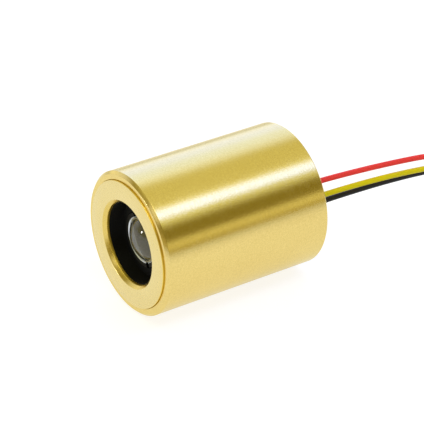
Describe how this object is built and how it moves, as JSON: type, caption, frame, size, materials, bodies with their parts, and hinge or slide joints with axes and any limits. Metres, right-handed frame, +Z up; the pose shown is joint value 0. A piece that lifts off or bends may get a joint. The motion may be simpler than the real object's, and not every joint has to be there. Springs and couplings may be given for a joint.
{
  "type": "laser diode module",
  "caption": "Cylindrical brass laser diode module with a proud front ring, a collimating lens in a dark recess and thin insulated leads from the rear.",
  "frame": {"origin": "on the optical axis, half way along the barrel", "axes": "beam leaves along -Y, leads leave along +Y, Z is up with the module lying on its barrel"},
  "size_m": [0.02, 0.0874, 0.02],
  "materials": {
    "barrel_brass": "satin turned",
    "ring_brass": "fine faced",
    "cell_black": "black anodised",
    "retainer_black": "black anodised",
    "lens_glass": "polished",
    "mount_brass": "turned",
    "header_steel": "gold plated",
    "can_nickel": "nickel plated",
    "window_glass": "polished",
    "submount_ceramic": "ground ceramic",
    "laser_crystal": "cleaved",
    "monitor_silicon": "polished",
    "pin_gold": "gold plated",
    "seal_glass": "fired",
    "sleeve_plastic": "moulded",
    "board_laminate": "solder mask",
    "chip_epoxy": "moulded",
    "leg_tin": "tinned",
    "tantalum_case": "moulded",
    "capacitor_ceramic": "fired ceramic",
    "resistor_ceramic": "glazed ceramic",
    "solder_tin": "soldered",
    "conductor_tin": "tinned",
    "plug_black": "moulded",
    "lead_red": "smooth insulation",
    "lead_yellow": "smooth insulation",
    "lead_black": "smooth insulation",
    "coil_mixed": "smooth insulation",
    "tie_nylon": "moulded"
  },
  "bodies": {
    "root": {"housing": "barrel_brass", "front_ring": "ring_brass", "lens_cell": "cell_black", "lens_retainer": "retainer_black", "collimating_lens": "lens_glass", "diode_mount": "mount_brass", "diode_header": "header_steel", "diode_cap": "can_nickel", "diode_window": "window_glass", "chip_submount": "submount_ceramic", "laser_chip": "laser_crystal", "monitor_photodiode": "monitor_silicon", "diode_pins": "pin_gold", "pin_seals": "seal_glass", "board_sleeve": "sleeve_plastic", "driver_board": "board_laminate", "driver_chip": "chip_epoxy", "chip_legs": "leg_tin", "switch_transistor": "chip_epoxy", "bulk_capacitor": "tantalum_case", "chip_capacitors": "capacitor_ceramic", "chip_resistors": "resistor_ceramic", "protection_diode": "chip_epoxy", "pin_solder": "solder_tin", "lead_solder": "solder_tin", "lead_conductors": "conductor_tin", "rear_plug": "plug_black", "red_lead": "lead_red", "yellow_lead": "lead_yellow", "black_lead": "lead_black", "lead_coil": "coil_mixed", "coil_tie": "tie_nylon", "lead_tips": "conductor_tin"}
  },
  "joints": []
}
